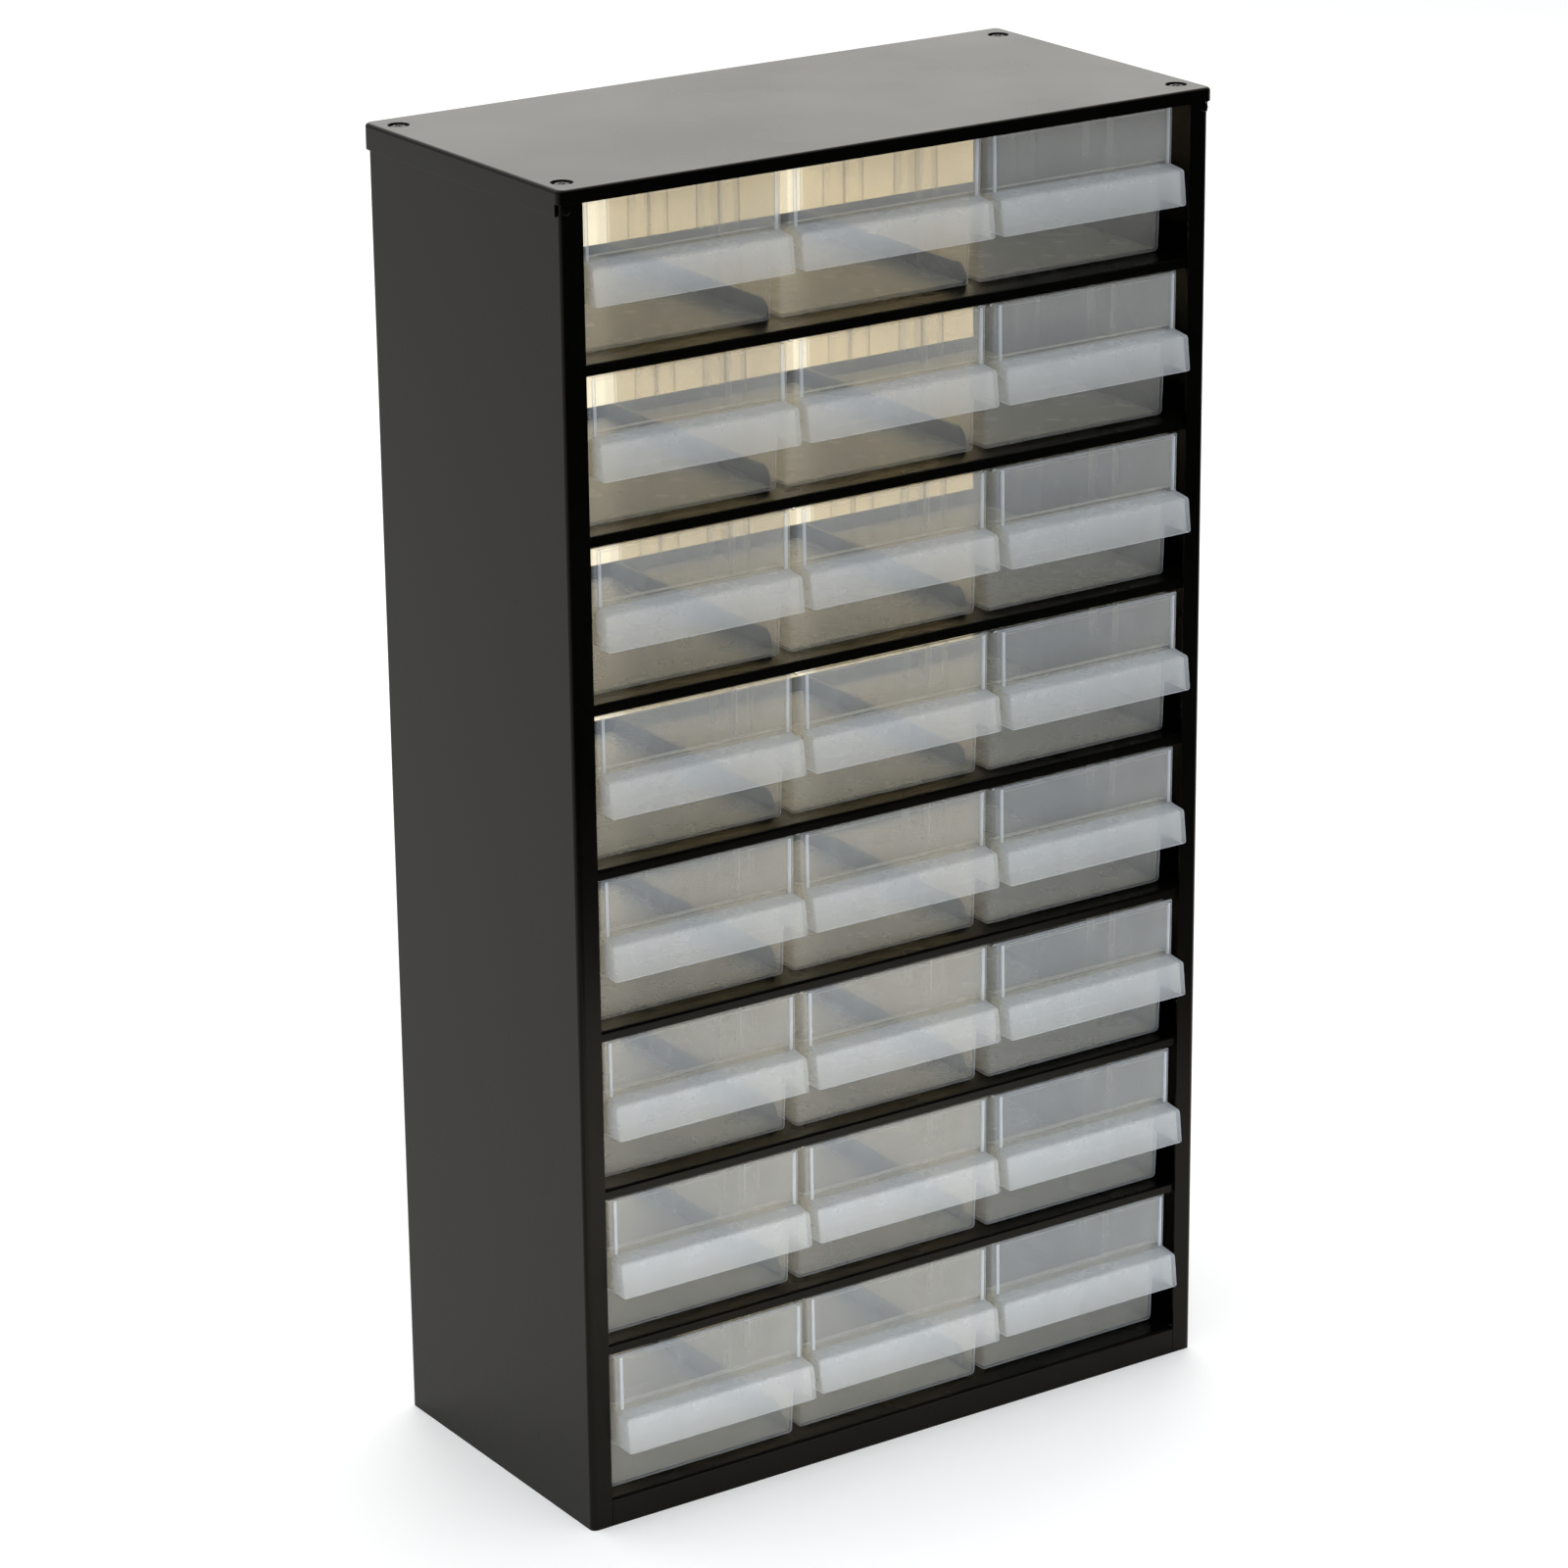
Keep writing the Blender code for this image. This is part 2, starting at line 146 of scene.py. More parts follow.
FRAME_SUNK = 0.6 * MM  # how far the frame goes into the panel
RIB_PROUD = 0.9 * MM
RIB_SUNK = 0.4 * MM
RIB_DROP = 4 * MM  # from the side walls' tops to the ribs' tops
OUTER_SKIN = 0.9 * MM  # edges no further than this inside the drawer's sides are outer edges
PULL_MILKINESS = 2.05  # how much more the thicker pull scatters than the walls
PULL_FADE = (-2 * MM, -0.5 * MM)  # the y between which that fades out
BOTTOM_MILKINESS = 0.55  # how much the drawer's lower part scatters, against the upper walls; scattering less, it looks darker
BOTTOM_FADE = (HANDLE_BOTTOM[1] - 2 * MM, LEDGE_Z)  # the z between which that fades out
UNEVENNESS = 0.1
CLEAR_COLOUR = (1.0, 0.967, 0.885, 1)
PLASTICS = (  # piece of the drawer, its milky share face on, and the same seen along the surface
    ("frosted_plastic", 0.142, 0.55),
    ("frosted_plastic_edge", 0.6, 0.8),
    ("frosted_plastic_rib", 0.34, 0.5),
)
WALLS, EDGES, RIBS = range(3)
DIVIDER_RIBS = (  # how far each rib on the side walls is from the label panel, and how wide
    (39 * MM, 3.2 * MM),
    (54.5 * MM, 4.8 * MM),
    (91 * MM, 3.2 * MM),
    (105 * MM, 4.8 * MM),
)

LID_LOW, LID_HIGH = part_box("lid")
SIDE_LOW, SIDE_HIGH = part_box("left_side")
FRONT_Y = SIDE_LOW.y
BACK_Y = SIDE_HIGH.y
HALF_WIDTH = -SIDE_LOW.x
HEIGHT = LID_HIGH.z
OPENING_TOP = HEIGHT - LID_FRONT_SKIRT


# --- shapes ---------------------------------------------------------------------------------------


SAME = 1e-6  # points closer than this are one point
ARC_STEPS = 8
ROUND_STEPS = 48
SCREW_STEPS = 32
PRISM_BEVEL_STEPS = 4
SMALLEST_SOFT_ANGLE = math.radians(40)
SMOOTH_ANGLE = math.radians(38)


def rounded(points):
    """The outline through (a, b, radius) points, with an arc of that radius at each corner."""
    out = []
    for i, (a, b, radius) in enumerate(points):
        here = Vector((a, b))
        if radius == 0:
            out.append(here)
            continue
        before = (Vector(points[i - 1][:2]) - here).normalized()
        after = (Vector(points[(i + 1) % len(points)][:2]) - here).normalized()
        half = before.angle(after) / 2
        centre = here + (before + after).normalized() * radius / math.sin(half)
        start = here + before * radius / math.tan(half) - centre
        sweep = start.angle_signed(here + after * radius / math.tan(half) - centre)
        for k in range(ARC_STEPS + 1):
            out.append(centre + Matrix.Rotation(-sweep * k / ARC_STEPS, 2) @ start)
    return out


def new_object(name, bm, closed=True):
    """An object with this mesh; a closed mesh gets its faces turned outwards."""
    if closed:
        bmesh.ops.recalc_face_normals(bm, faces=bm.faces)
    mesh = bpy.data.meshes.new(name)
    bm.to_mesh(mesh)
    bm.free()
    obj = bpy.data.objects.new(name, mesh)
    bpy.context.scene.collection.objects.link(obj)
    return obj


def apply_modifiers(obj):
    """Bakes an object's modifiers into its mesh."""
    bpy.context.view_layer.update()
    graph = bpy.context.evaluated_depsgraph_get()
    mesh = bpy.data.meshes.new_from_object(obj.evaluated_get(graph))
    obj.modifiers.clear()
    obj.data = mesh


def combine(target, operation, *others):
    """Joins the others to the target, or cuts them from it, and removes them."""
    for other in others:
        boolean = target.modifiers.new("Boolean", "BOOLEAN")
        boolean.operation = operation
        boolean.object = other
        boolean.solver = "EXACT"
        boolean.use_self = True
    apply_modifiers(target)
    for other in others:
        bpy.data.objects.remove(other)


def soften(obj, width, segments=2, edge_slot=-1):
    """Rounds the sharp edges a little, and shades the rest smooth."""
    bevel = obj.modifiers.new("Bevel", "BEVEL")
    bevel.material = edge_slot
    bevel.width = width
    bevel.segments = segments
    bevel.limit_method = "ANGLE"
    bevel.angle_limit = SMALLEST_SOFT_ANGLE
    apply_modifiers(obj)
    obj.data.shade_smooth()
    obj.data.set_sharp_from_angle(angle=SMOOTH_ANGLE)
    normals = obj.modifiers.new("Normals", "WEIGHTED_NORMAL")
    normals.keep_sharp = True
    apply_modifiers(obj)


def thicken(obj):
    """Gives a surface the thickness of the sheet, on the side away from its normals."""
    solid = obj.modifiers.new("Sheet", "SOLIDIFY")
    solid.thickness = SHEET
    solid.offset = -1
    solid.use_even_offset = True
    apply_modifiers(obj)


def folded(name, path, low, high, to_point):
    """Folded sheet steel: a surface swept along a path, thickened towards the path's right."""
    bm = bmesh.new()
    rows = [[bm.verts.new(to_point(p, s)) for p in path] for s in (low, high)]
    for i in range(len(path) - 1):
        bm.faces.new((rows[1][i], rows[1][i + 1], rows[0][i + 1], rows[0][i]))
    obj = new_object(name, bm, closed=False)
    thicken(obj)
    return obj


def add_block(bm, low, high):
    """Adds a box, given by its low and high corners."""
    made = bmesh.ops.create_cube(bm, size=1)["verts"]
    middle = [(a + b) / 2 for a, b in zip(low, high)]
    for v in made:
        v.co = Vector([m + c * (b - a) for m, c, a, b in zip(middle, v.co, low, high)])


def blocks(name, boxes):
    """Separate boxes, given by their low and high corners, as one object."""
    bm = bmesh.new()
    for low, high in boxes:
        add_block(bm, low, high)
    return new_object(name, bm)


def cones(name, centres, radius_low, radius_high, low, high):
    """Upright cones or cylinders round the centres, between two heights, as one object."""
    bm = bmesh.new()
    for x, y in centres:
        bmesh.ops.create_cone(
            bm,
            cap_ends=True,
            segments=ROUND_STEPS,
            radius1=radius_low,
            radius2=radius_high,
            depth=high - low,
            matrix=Matrix.Translation((x, y, (low + high) / 2)),
        )
    return new_object(name, bm)


def prism(name, outline, half_width, radius=0, share=None):
    """A (y, z) outline drawn out along X, each edge rounded by share(start, end) of the radius."""
    bm = bmesh.new()
    ends = [[bm.verts.new((side * half_width, p[0], p[1])) for p in outline] for side in (-1, 1)]
    bm.faces.new(ends[0])
    bm.faces.new(ends[1])
    for i in range(len(outline)):
        j = (i + 1) % len(outline)
        bm.faces.new((ends[0][i], ends[0][j], ends[1][j], ends[1][i]))
    obj = new_object(name, bm)
    if radius:
        mesh = obj.data
        weights = mesh.attributes.new("bevel_weight_edge", "FLOAT", "EDGE").data
        for edge in mesh.edges:
            start, end = (mesh.vertices[i].co for i in edge.vertices)
            weights[edge.index].value = share(start, end) if share else 1
        bevel = obj.modifiers.new("Bevel", "BEVEL")
        bevel.limit_method = "WEIGHT"
        bevel.width = radius
        bevel.segments = PRISM_BEVEL_STEPS
        apply_modifiers(obj)
    return obj


# --- materials ------------------------------------------------------------------------------------


class Nodes:
    """Short calls for building one material's node tree."""

    def __init__(self, name):
        self.material = bpy.data.materials.new(name)
        self.material.use_nodes = True
        self.tree = self.material.node_tree
        self.shader = self.tree.nodes["Principled BSDF"]
        self.place = self.add("ShaderNodeTexCoord").outputs["Object"]

    def add(self, kind, **settings):
        node = self.tree.nodes.new(kind)
        for name, value in settings.items():
            setattr(node, name, value)
        return node

    def link(self, source, target):
        self.tree.links.new(source, target)

    def noise(self, scale, detail=2.0, roughness=0.5):
        """Noise with this many features per metre, fixed to the piece."""
        node = self.add("ShaderNodeTexNoise")
        self.link(self.place, node.inputs["Vector"])
        node.inputs["Scale"].default_value = scale
        node.inputs["Detail"].default_value = detail
        node.inputs["Roughness"].default_value = roughness
        return node.outputs["Fac"]

    def spread(self, source, low, high, source_low=0.3, source_high=0.7):
        """Carries the source's range over to low to high."""
        node = self.add("ShaderNodeMapRange")
        self.link(source, node.inputs["Value"])
        node.inputs["From Min"].default_value = source_low
        node.inputs["From Max"].default_value = source_high
        node.inputs["To Min"].default_value = low
        node.inputs["To Max"].default_value = high
        return node.outputs["Result"]

    def blend(self, factor, first, second):
        """Mixes two colours, or a colour and another mix."""
        node = self.add("ShaderNodeMix", data_type="RGBA")
        self.link(factor, node.inputs["Factor"])
        for value, socket in ((first, node.inputs["A"]), (second, node.inputs["B"])):
            if isinstance(value, tuple):
                socket.default_value = value
            else:
                self.link(value, socket)
        return node.outputs["Result"]

    def product(self, first, second):
        node = self.add("ShaderNodeMath", operation="MULTIPLY")
        self.link(first, node.inputs[0])
        self.link(second, node.inputs[1])
        return node.outputs["Value"]

    def bump(self, height, strength, distance, under=None):
        node = self.add("ShaderNodeBump")
        node.inputs["Strength"].default_value = strength
        node.inputs["Distance"].default_value = distance
        self.link(height, node.inputs["Height"])
        if under is not None:
            self.link(under, node.inputs["Normal"])
        return node.outputs["Normal"]

    def feed(self, source, name):
        """Drives one of the shader's sockets."""
        self.link(source, self.shader.inputs[name])

    def fix(self, name, value):
        """Sets one of the shader's sockets to a value that is the same all over."""
        self.shader.inputs[name].default_value = value


def powder_coat():
    """Black polyester powder coat: a fine orange peel, a little cloudiness and a trace of dust."""
    n = Nodes("black_powder_coat")
    cloud = n.noise(14, 3)
    peel = n.noise(750, 2)
    grain = n.noise(3200, 1)
    dust = n.noise(240, 6, 0.7)
    dark = (0.0007, 0.00066, 0.0006, 1)
    less_dark = (0.0014, 0.0013, 0.0012, 1)
    dusty = (0.007, 0.0068, 0.0063, 1)
    tone = n.blend(n.spread(cloud, 0, 1), dark, less_dark)
    speck = n.spread(dust, 0, 0.5, 0.66, 0.8)
    n.feed(n.blend(speck, tone, dusty), "Base Color")
    n.feed(n.spread(cloud, 0.24, 0.29), "Roughness")
    n.fix("Specular IOR Level", 0.135)
    n.fix("Specular Tint", (1.0, 0.88, 0.70, 1))
    n.feed(n.bump(grain, 0.05, 0.00004, n.bump(peel, 0.11, 0.00012)), "Normal")
    return n.material


def frosted_plastic(name, scatter, scatter_at_edges):
    """Natural polypropylene: its milky share scatters cool light, and the rest lets warm light through.

    The milky share grows from scatter, face on, to scatter_at_edges, along the surface.
    """
    n = Nodes(name)
    cloud = n.noise(22, 3)
    texture = n.noise(420, 2)
    flow = n.noise(60, 4, 0.6)
    cool = (0.76, 0.83, 0.935, 1)
    paler = (0.80, 0.86, 0.965, 1)
    n.feed(n.blend(n.spread(cloud, 0, 1), cool, paler), "Base Color")
    n.feed(n.spread(flow, 0.22, 0.30), "Roughness")
    n.fix("IOR", 1.49)
    n.feed(n.bump(texture, 0.05, 0.00005), "Normal")

    clear = n.add("ShaderNodeBsdfTransparent")
    clear.inputs["Color"].default_value = CLEAR_COLOUR
    slant = n.add("ShaderNodeLayerWeight")
    slant.inputs["Blend"].default_value = 0.5
    along = n.add("ShaderNodeSeparateXYZ")
    n.link(n.place, along.inputs["Vector"])
    pull = n.spread(along.outputs["Y"], PULL_MILKINESS, 1, *PULL_FADE)
    bottom = n.spread(along.outputs["Z"], BOTTOM_MILKINESS, 1, *BOTTOM_FADE)
    thickness = n.product(pull, bottom)
    uneven = n.spread(flow, scatter * (1 - UNEVENNESS), scatter * (1 + UNEVENNESS))
    milky = n.product(uneven, thickness)
    share = n.add("ShaderNodeMix", data_type="FLOAT")
    n.link(n.spread(slant.outputs["Facing"], 0, 1, 0.35, 1), share.inputs["Factor"])
    n.link(milky, share.inputs["A"])
    share.inputs["B"].default_value = scatter_at_edges
    mixed = n.add("ShaderNodeMixShader")
    n.link(share.outputs["Result"], mixed.inputs["Fac"])
    n.link(clear.outputs["BSDF"], mixed.inputs[1])
    n.link(n.shader.outputs["BSDF"], mixed.inputs[2])
    n.link(mixed.outputs["Shader"], n.tree.nodes["Material Output"].inputs["Surface"])
    return n.material


def black_screw():
    """Black oxide on a small steel screw, rubbed a little brighter on its high spots."""
    n = Nodes("black_screw")
    rub = n.noise(900, 4, 0.65)
    black = (0.02, 0.02, 0.021, 1)
    bare = (0.11, 0.11, 0.11, 1)
    n.feed(n.blend(n.spread(rub, 0, 1, 0.4, 0.75), black, bare), "Base Color")
    n.feed(n.spread(rub, 0.34, 0.5), "Roughness")
    n.fix("Metallic", 0.85)
    n.feed(n.bump(n.noise(2500, 2), 0.15, 0.00005), "Normal")
    return n.material


def pale_floor():
    """A white light table: it glows a little, so shadows on it stay faint."""
    n = Nodes("pale_floor")
    white = (0.91, 0.91, 0.905, 1)
    whiter = (0.93, 0.93, 0.925, 1)
    n.feed(n.blend(n.spread(n.noise(3, 3), 0, 1), white, whiter), "Base Color")
    n.feed(n.spread(n.noise(40, 3), 0.55, 0.65), "Roughness")
    n.fix("Specular IOR Level", 0.2)
    n.fix("Emission Color", (1.0, 1.0, 1.0, 1))
    n.fix("Emission Strength", 0.18)
    return n.material


# --- steel ----------------------------------------------------------------------------------------


def screw_places():
    """The centre of each lid screw, by the name of its corner."""
    x = LID_HIGH.x - SCREW_INSET_X
    front = LID_LOW.y + SCREW_INSET_Y
    back = LID_HIGH.y - SCREW_INSET_Y
    return {
        "front_left": (-x, front),
        "front_right": (x, front),
        "rear_left": (-x, back),
        "rear_right": (x, back),
    }


def settle(obj, materials, body, slot, *nodes):
    """Gives a finished piece its place in the frame, and its materials unless its mesh has them."""
    if not obj.data.materials:
        for material in materials:
            obj.data.materials.append(material)
    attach(obj, body)
    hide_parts(*nodes)


def weld_dome(side):
    """A flat dome on the front of the stile, below the lid."""
    bm = bmesh.new()
    bmesh.ops.create_uvsphere(bm, u_segments=24, v_segments=12, radius=WELD_RADIUS)
    dome = new_object("weld", bm)
    flat = Matrix.Diagonal((1, WELD_FLATNESS, 1, 1))
    dome.data.transform(Matrix.Translation((side * WELD[0], FRONT_Y, WELD[1])) @ flat)
    return dome


def side_panel(word, side, material):
    """A folded channel: stile, side wall and rear flange, with a flange on top for the screws."""
    x = side * HALF_WIDTH
    path = rounded(
        [
            (x - side * STILE_WIDTH, FRONT_Y, 0),
            (x, FRONT_Y, BEND),
            (x, BACK_Y, BEND),
            (x - side * REAR_FLANGE, BACK_Y, 0),
        ]
    )
    if side > 0:
        path.reverse()
    panel = folded("panel_" + word, path, 0, SIDE_HIGH.z, lambda p, s: (p.x, p.y, s))
    top = HEIGHT - TOP_FLANGE_DROP
    inner, outer = sorted((x - side * TOP_FLANGE, x - side * SHEET / 2))
    flange = blocks(
        "flange", [((inner, FRONT_Y + 2 * BEND, top - SHEET), (outer, BACK_Y - 2 * BEND, top))]
    )
    own = [place for place in screw_places().values() if place[0] * side > 0]
    holes = cones("holes", own, SCREW_HOLE_RADIUS, SCREW_HOLE_RADIUS, top - 3 * SHEET, top + SHEET)
    combine(panel, "UNION", flange)
    combine(panel, "DIFFERENCE", holes)
    combine(panel, "UNION", weld_dome(side))
    soften(panel, EDGE)
    settle(panel, [material], "cabinet", "black_powder_coat", word + "_side")


def lid(material):
    """A shallow cap with a dimple at each screw, its front skirt shorter than the others."""
    bm = bmesh.new()
    add_block(bm, LID_LOW, LID_HIGH)
    bottom = [f for f in bm.faces if f.calc_center_median().z < LID_LOW.z + MM]
    bmesh.ops.delete(bm, geom=bottom, context="FACES_ONLY")
    upright = [e for e in bm.edges if abs(e.verts[0].co.z - e.verts[1].co.z) > LID_SKIRT / 2]
    bmesh.ops.bevel(bm, geom=upright, offset=LID_CORNER, segments=10, affect="EDGES", profile=0.5)
    rim = [e for e in bm.edges if all(abs(v.co.z - HEIGHT) < SAME for v in e.verts)]
    bmesh.ops.bevel(bm, geom=rim, offset=LID_EDGE, segments=6, affect="EDGES", profile=0.5)
    cap = new_object("lid_cap", bm)
    thicken(cap)
    places = list(screw_places().values())
    floor = HEIGHT - DIMPLE_DEPTH
    slope = (DIMPLE_TOP_RADIUS - DIMPLE_RADIUS) / DIMPLE_DEPTH
    wide = DIMPLE_TOP_RADIUS + slope * CLEARANCE
    cups = cones("cups", places, CUP_RADIUS, CUP_RADIUS, floor - SHEET, HEIGHT - SHEET / 2)
    dimples = cones("dimples", places, DIMPLE_RADIUS, wide, floor, HEIGHT + CLEARANCE)
    holes = cones(
        "holes", places, SCREW_HOLE_RADIUS, SCREW_HOLE_RADIUS, floor - 2 * SHEET, floor + SHEET / 2
    )
    front_cut = blocks(
        "front_cut",
        [((-2 * HALF_WIDTH, FRONT_Y - 3 * BEND, 0), (2 * HALF_WIDTH, FRONT_Y + BEND, OPENING_TOP))],
    )
    combine(cap, "UNION", cups)
    combine(cap, "DIFFERENCE", dimples, holes, front_cut)
    soften(cap, EDGE)
    settle(cap, [material], "cabinet", "black_powder_coat", "lid")


def lid_screw(corner, place, material):
    """A low pan head with a cross recess, on a pointed shank."""
    seat = HEIGHT - DIMPLE_DEPTH + GAP
    top = seat + SCREW_HEAD
    profile = [
        (0, top),
        (SCREW_HEAD_RADIUS * 0.55, top),
        (SCREW_HEAD_RADIUS * 0.85, top - SCREW_HEAD * 0.15),
        (SCREW_HEAD_RADIUS, top - SCREW_HEAD * 0.55),
        (SCREW_HEAD_RADIUS, seat),
        (SCREW_RADIUS, seat),
        (SCREW_RADIUS * 0.9, seat - SCREW_LENGTH * 0.7),
        (0, seat - SCREW_LENGTH),
    ]
    bm = bmesh.new()
    points = [bm.verts.new((place[0] + r, place[1], z)) for r, z in profile]
    edges = [bm.edges.new(pair) for pair in zip(points, points[1:])]
    bmesh.ops.spin(
        bm,
        geom=edges,
        cent=(*place, 0),
        axis=(0, 0, 1),
        angle=2 * math.pi,
        steps=SCREW_STEPS,
        use_merge=True,
    )
    bmesh.ops.remove_doubles(bm, verts=bm.verts, dist=SAME)
    screw = new_object("screw_" + corner, bm)
    slots = []
    for a, b in ((RECESS_LONG, RECESS_SHORT), (RECESS_SHORT, RECESS_LONG)):
        low = (place[0] - a, place[1] - b, top - SCREW_HEAD / 2)
        high = (place[0] + a, place[1] + b, top + MM)
        slots.append(blocks("slot", [(low, high)]))
    combine(screw, "DIFFERENCE", *slots)
    soften(screw, SCREW_EDGE)
    settle(screw, [material], "cabinet", "black_screw", "lid_screw_" + corner)


def guide_ribs(z):
    """Four upright ribs with rounded ends that keep the drawers in their lanes."""
    front, rear = FRONT_Y + RIB_FRONT, FRONT_Y + RIB_REAR
    outline = rounded(
        [
            (front, -SHEET / 2, 0),
            (front, RIB_HEIGHT, RIB_END),
            (rear, RIB_HEIGHT, RIB_END),
            (rear, -SHEET / 2, 0),
        ]
    )
    made = []
    for x in (-OUTER_RIB_X, -LANE / 2, LANE / 2, OUTER_RIB_X):
        rib = prism("rib", outline, RIB_WIDTH / 2)
        for v in rib.data.vertices:
            v.co.x *= 1 - RIB_TAPER * max(v.co.z, 0) / RIB_HEIGHT
        rib.data.transform(Matrix.Translation((x, 0, z)))
        made.append(rib)
    return made


def side_flanges(start_x, z, drop):
    """The strips along a shelf's ends, folded down beside the side panels."""
    wall_x = HALF_WIDTH - SHEET - GAP
    z -= FLANGE_SINK
    made = []
    for side in (-1, 1):
        corner = (side * wall_x, z, FLANGE_BEND)
        path = rounded([(side * start_x, z, 0), corner, (side * wall_x, z - drop, 0)])
        if side > 0:
            path.reverse()
        flange = folded(
            "flange", path, FRONT_Y + 2 * BEND, BACK_Y - 2 * BEND, lambda p, s: (p.x, s, p.y)
        )
        made.append(flange)
    return made


def shelf_form():
    """A shelf whose top is at z = 0: front edge folded down, rear edge up, sides down."""
    front = FRONT_Y + SHEET + GAP
    rear = BACK_Y - SHEET - GAP - SHEET
    path = rounded(
        [
            (front, -LIP, 0),
            (front, 0, SHELF_FRONT_BEND),
            (rear, 0, SHELF_REAR_BEND),
            (rear, REAR_LIP, 0),
        ]
    )
    half = SHELF_WIDTH / 2
    sheet = folded("shelf_form", path, -half, half, lambda p, s: (s, p.x, p.y))
    combine(sheet, "UNION", *guide_ribs(0), *side_flanges(half - SHEET, 0, SIDE_FLANGE))
    soften(sheet, EDGE)
    return sheet


def shelves(material):
    """One shelf below each row but the last; all seven share a mesh."""
    form = shelf_form()
    for row in range(1, ROWS):
        shelf = bpy.data.objects.new(f"rack_{row}", form.data)
        shelf.location = (0, 0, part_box(f"drawer_r{row}_c1")[0].z - GAP)
        bpy.context.scene.collection.objects.link(shelf)
        settle(shelf, [material], "cabinet", "black_powder_coat", f"shelf_{row}")
    bpy.data.objects.remove(form)


def base(material):
    """The folded bottom, open below, whose front edge shows between the stiles."""
    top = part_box(f"drawer_r{ROWS}_c1")[0].z - GAP
    rear = BACK_Y - SHEET - GAP
    path = rounded(
        [(FRONT_Y, 0, 0), (FRONT_Y, top, BASE_BEND), (rear, top, BASE_BEND), (rear, 0, 0)]
    )
    half = HALF_WIDTH - STILE_WIDTH - GAP
    pan = folded("plinth", path, -half, half, lambda p, s: (s, p.x, p.y))
    combine(pan, "UNION", *guide_ribs(top), *side_flanges(half - SHEET, top, top - SHEET))
    soften(pan, EDGE)
    settle(pan, [material], "cabinet", "black_powder_coat", "base_pan")


# --- drawers --------------------------------------------------------------------------------------


def tray_shell():
    """The drawer's solid outside, with the catch on its upper edges."""
    stop = DRAWER_LENGTH - STOP_SETBACK
    outline = [
        (0, DRAWER_HEIGHT),
        (PANEL, DRAWER_HEIGHT),
        (2 * PANEL, SIDE_HEIGHT),
        (stop, SIDE_HEIGHT),
        (stop, STOP_HEIGHT),
        (stop + STOP_LENGTH, STOP_HEIGHT),
        (stop + 2 * STOP_LENGTH, SIDE_HEIGHT),
        (DRAWER_LENGTH, SIDE_HEIGHT),
        (DRAWER_LENGTH, 0),
        (TOE_Y + TOE_LEAN, 0),
        (TOE_Y, HANDLE_BOTTOM[1]),
        HANDLE_BOTTOM,
        HANDLE_TOP,
        (0, LEDGE_Z),
    ]

    def share(start, end):
        """None of the radius along the top; all of it along the bottom, back, toe and ledge."""
        lowest, highest = sorted((start.z, end.z))
        if lowest > SIDE_HEIGHT - MM:
            return 0
        on_ledge = abs(start.y - end.y) > LEDGE_EDGE and lowest > HANDLE_TOP[1] - 2 * MM
        at_back = min(start.y, end.y) > DRAWER_LENGTH - MM
        at_bottom = highest < MM
        at_toe = highest < HANDLE_BOTTOM[1] + MM and highest - lowest > TOE_EDGE
        return 1 if on_ledge or at_back or at_bottom or at_toe else 0.5

    return prism("tray", outline, DRAWER_WIDTH / 2, OUTSIDE_ROUNDING, share)


def tray_hollows():
    """What is cut from the solid: the space inside, and the finger hollow behind the pull."""
    inside = DRAWER_WIDTH / 2 - WALL
    above = DRAWER_HEIGHT + 5 * CLEARANCE
    hold = prism(
        "hold",
        [
            (PANEL, above),
            (DRAWER_LENGTH - WALL, above),
            (DRAWER_LENGTH - WALL, WALL),
            (TOE_Y + TOE_LEAN + WALL, WALL),
            (TOE_Y + WALL, LEDGE_Z),
            (PANEL, LEDGE_Z + HOLD_STEP),
        ],
        inside,
        INSIDE_ROUNDING,
    )
    finger_y = TOE_Y - GRIP_DEPTH
    finger_top = LEDGE_Z - GRIP_ROOF
    below = HANDLE_BOTTOM[1] - 1.5 * CLEARANCE
    grip = prism(
        "grip",
        [
            (finger_y, below),
            (HANDLE_BOTTOM[0] + WALL - GRIP_THINNING, below),
            (HANDLE_TOP[0] + WALL, finger_top - GRIP_SLOPE),
            (finger_y, finger_top),
        ],
        inside,
        GRIP_ROUNDING,
    )
    return hold, grip


def tray_additions():
    """The raised frame round the card, and the ribs on the side walls that hold dividers."""
    half = DRAWER_WIDTH / 2
    end = half - FRAME_INSET
    top = DRAWER_HEIGHT - FRAME_DROP
    boxes = [((-end, -BAR_PROUD, top - BAR_WIDTH), (end, FRAME_SUNK, top))]
    for side in (-1, 1):
        a, b = sorted((side * (end - STRIP_WIDTH), side * end))
        boxes.append(((a, -STRIP_PROUD, LEDGE_Z - MM), (b, FRAME_SUNK, top - STRIP_DROP)))
        wall = half - WALL + RIB_SUNK
        for y, width in DIVIDER_RIBS:
            a, b = sorted((side * (wall - RIB_SUNK - RIB_PROUD), side * wall))
            low = (a, y - width / 2, WALL / 2)
            boxes.append((low, (b, y + width / 2, SIDE_HEIGHT - RIB_DROP)))
    return blocks("additions", boxes)


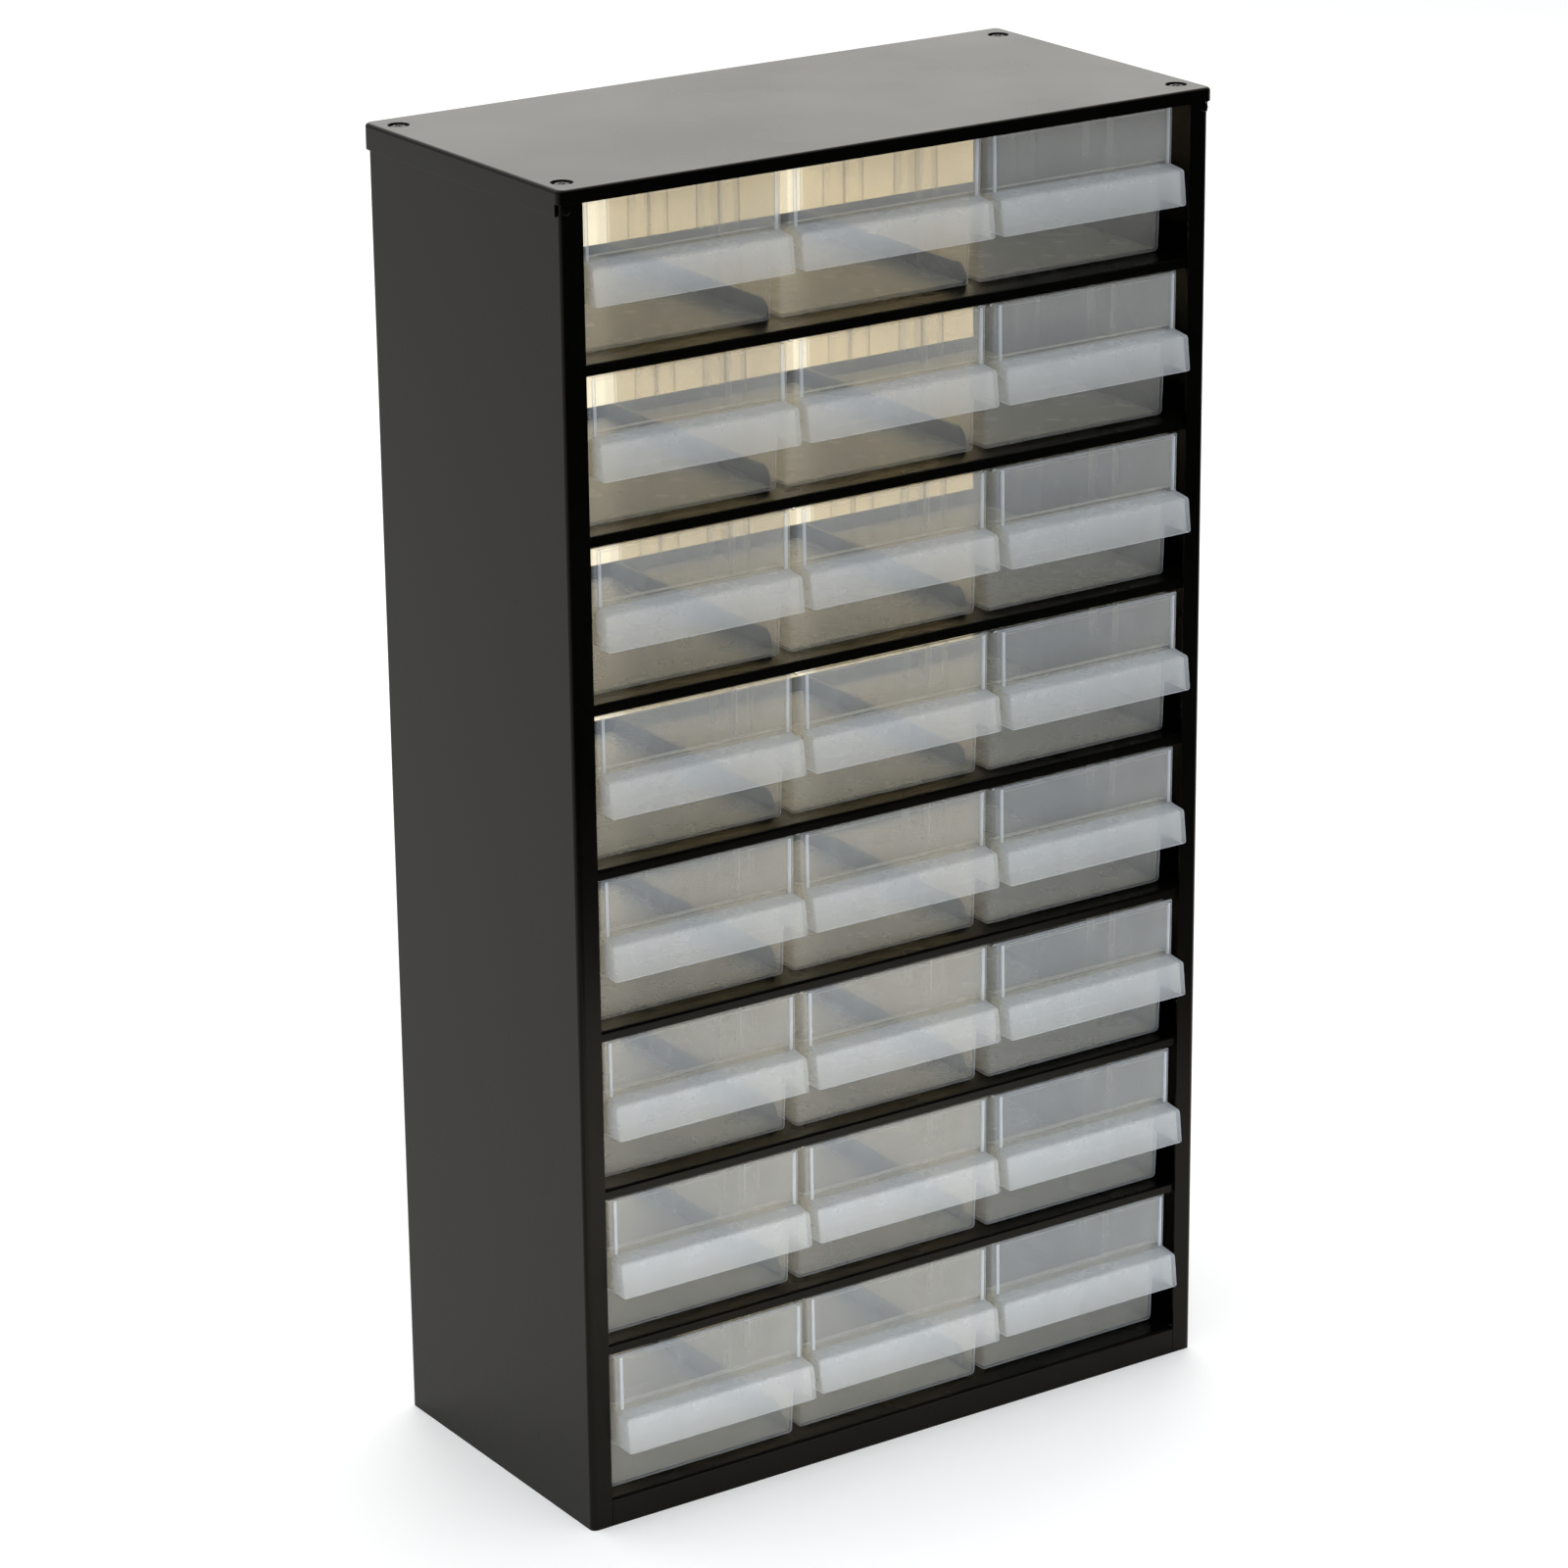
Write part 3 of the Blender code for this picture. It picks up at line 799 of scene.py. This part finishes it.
def drawers():
    """One tray, and a piece for each drawer with the same mesh."""
    materials = [frosted_plastic(*plastic) for plastic in PLASTICS]
    tray = tray_shell()
    combine(tray, "DIFFERENCE", *tray_hollows())
    additions = tray_additions()
    for obj in (tray, additions):
        for material in materials:
            obj.data.materials.append(material)
    for face in additions.data.polygons:
        face.material_index = RIBS
    combine(tray, "UNION", additions)
    for v in tray.data.vertices:
        v.co.x *= 1 - DRAFT / (DRAWER_WIDTH / 2) * (1 - v.co.z / DRAWER_HEIGHT)
    soften(tray, RIM_ROUNDING, segments=3, edge_slot=EDGES)
    for face in tray.data.polygons:
        place = face.center
        if place.z > SIDE_HEIGHT - MM:
            face.material_index = EDGES if face.normal.z > 0.5 else WALLS
        elif face.material_index == EDGES and abs(place.x) < DRAWER_WIDTH / 2 - OUTER_SKIN:
            on_frame = -MM < place.y < PANEL and place.z > LEDGE_Z + 2 * MM
            if on_frame or place.y > 3 * PANEL:
                face.material_index = RIBS
    for row in range(1, ROWS + 1):
        for column in range(1, COLUMNS + 1):
            node = f"drawer_r{row}_c{column}"
            low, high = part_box(node)
            piece = bpy.data.objects.new(f"tray_r{row}_c{column}", tray.data)
            piece.location = ((low.x + high.x) / 2, low.y - HANDLE_BOTTOM[0], low.z)
            bpy.context.scene.collection.objects.link(piece)
            settle(piece, materials, node, "frosted_plastic", node)
    bpy.data.objects.remove(tray)


# --- stage ----------------------------------------------------------------------------------------

CAMERA_PLACE = Vector((-1.1926, FRONT_Y - 1.7116, 1.0227))
CAMERA_PAN = math.radians(33.60)
CAMERA_TILT = math.radians(19.38)
CAMERA_ROLL = math.radians(-0.63)
CAMERA_LENS = 126.95
SENSOR_WIDTH = 36
FURTHEST_SEEN = 50
SURFACES_SEEN_THROUGH = 32
STUDIO_COLOUR = (0.95, 0.975, 1.0, 1)
STUDIO_BRIGHTNESS = 0.73
WARM = (1.0, 0.985, 0.96)
WARMER = (1.0, 0.955, 0.87)
WARMEST = (1.0, 0.94, 0.84)
COOL = (0.95, 0.98, 1.0)
WIDE = 180
LIGHTS = (  # name, place, the point it faces, size, radiance, colour and spread in degrees
    ("overhead", (0.0, 1.6, 2.6), (0.0, 1.2, 0), (4.2, 3.6), 0.75, WARM, WIDE),
    ("rear", (0.75, 1.2, 2.0), (0.75, 1.15, 0), (1.2, 1.2), 0.2, WARMEST, 100),
    ("window", (1.35, 2.0, 1.35), (0, 0, 0.5), (2.6, 1.3), 1.2, WARMER, WIDE),
    ("key", (-0.45, -1.5, 1.75), (0, -0.35, -0.1), (1.3, 0.9), 0.35, COOL, 75),
    ("low", (-0.08, FRONT_Y - 0.25, 0.06), (-0.08, 0, 0.06), (0.7, 0.12), 1.8, COOL, WIDE),
)
CARD_CORNER = Vector((-1.2, FRONT_Y - 0.28, 0.0))
CARD_SIZE = Vector((3.2, 0.01, 1.3))
FLOOR_REACH = 9
FLOOR_THICKNESS = 0.02


def camera():
    """The photograph's view, from the left of the front and above."""
    pan, tilt, roll = CAMERA_PAN, CAMERA_TILT, CAMERA_ROLL
    ahead = Vector(
        (math.sin(pan) * math.cos(tilt), math.cos(pan) * math.cos(tilt), -math.sin(tilt))
    )
    level = Vector((math.cos(pan), -math.sin(pan), 0))
    upright = level.cross(ahead)
    right = math.cos(roll) * level + math.sin(roll) * upright
    up = right.cross(ahead)
    data = bpy.data.cameras.new("camera")
    data.lens = CAMERA_LENS
    data.sensor_width = SENSOR_WIDTH
    data.clip_end = FURTHEST_SEEN
    made = bpy.data.objects.new("camera", data)
    rotation = Matrix((right, up, -ahead)).transposed().to_4x4()
    made.matrix_world = Matrix.Translation(CAMERA_PLACE) @ rotation
    bpy.context.scene.collection.objects.link(made)
    bpy.context.scene.camera = made


def panel_light(name, place, target, size, radiance, colour, spread):
    """A soft rectangular light whose face has this radiance."""
    data = bpy.data.lights.new(name, "AREA")
    data.shape = "RECTANGLE"
    data.size, data.size_y = size
    data.energy = radiance * math.pi * size[0] * size[1]
    data.color = colour
    data.spread = math.radians(spread)
    made = bpy.data.objects.new(name, data)
    made.location = place
    made.rotation_euler = (Vector(target) - Vector(place)).to_track_quat("-Z", "Y").to_euler()
    made.visible_camera = False
    bpy.context.scene.collection.objects.link(made)


def black_card():
    """A black card in front, which keeps the front edges dark: only reflections see it."""
    bm = bmesh.new()
    add_block(bm, CARD_CORNER, CARD_CORNER + CARD_SIZE)
    card = new_object("black_card", bm)
    n = Nodes("black_card")
    black = (0.003, 0.003, 0.003, 1)
    less_black = (0.005, 0.005, 0.005, 1)
    n.feed(n.blend(n.spread(n.noise(30), 0, 1), black, less_black), "Base Color")
    n.fix("Roughness", 0.9)
    n.fix("Specular IOR Level", 0.1)
    card.data.materials.append(n.material)
    card.visible_camera = False
    card.visible_diffuse = False
    card.visible_transmission = False
    card.visible_shadow = False


def world():
    """Even light from all round."""
    made = bpy.data.worlds.new("studio")
    made.use_nodes = True
    background = made.node_tree.nodes["Background"]
    background.inputs["Color"].default_value = STUDIO_COLOUR
    background.inputs["Strength"].default_value = STUDIO_BRIGHTNESS
    bpy.context.scene.world = made


def ground():
    """A wide floor under the object."""
    bm = bmesh.new()
    add_block(
        bm, (-FLOOR_REACH, -FLOOR_REACH, -FLOOR_THICKNESS), (FLOOR_REACH, FLOOR_REACH, 0)
    )
    made = new_object("floor", bm)
    made.data.materials.append(pale_floor())


def main():
    black = powder_coat()
    screw = black_screw()
    side_panel("left", -1, black)
    side_panel("right", 1, black)
    lid(black)
    for corner, place in screw_places().items():
        lid_screw(corner, place, screw)
    base(black)
    shelves(black)
    drawers()
    ground()
    camera()
    for light in LIGHTS:
        panel_light(*light)
    black_card()
    world()
    bpy.context.scene.view_settings.view_transform = "Standard"
    bpy.context.scene.cycles.transparent_max_bounces = SURFACES_SEEN_THROUGH


main()
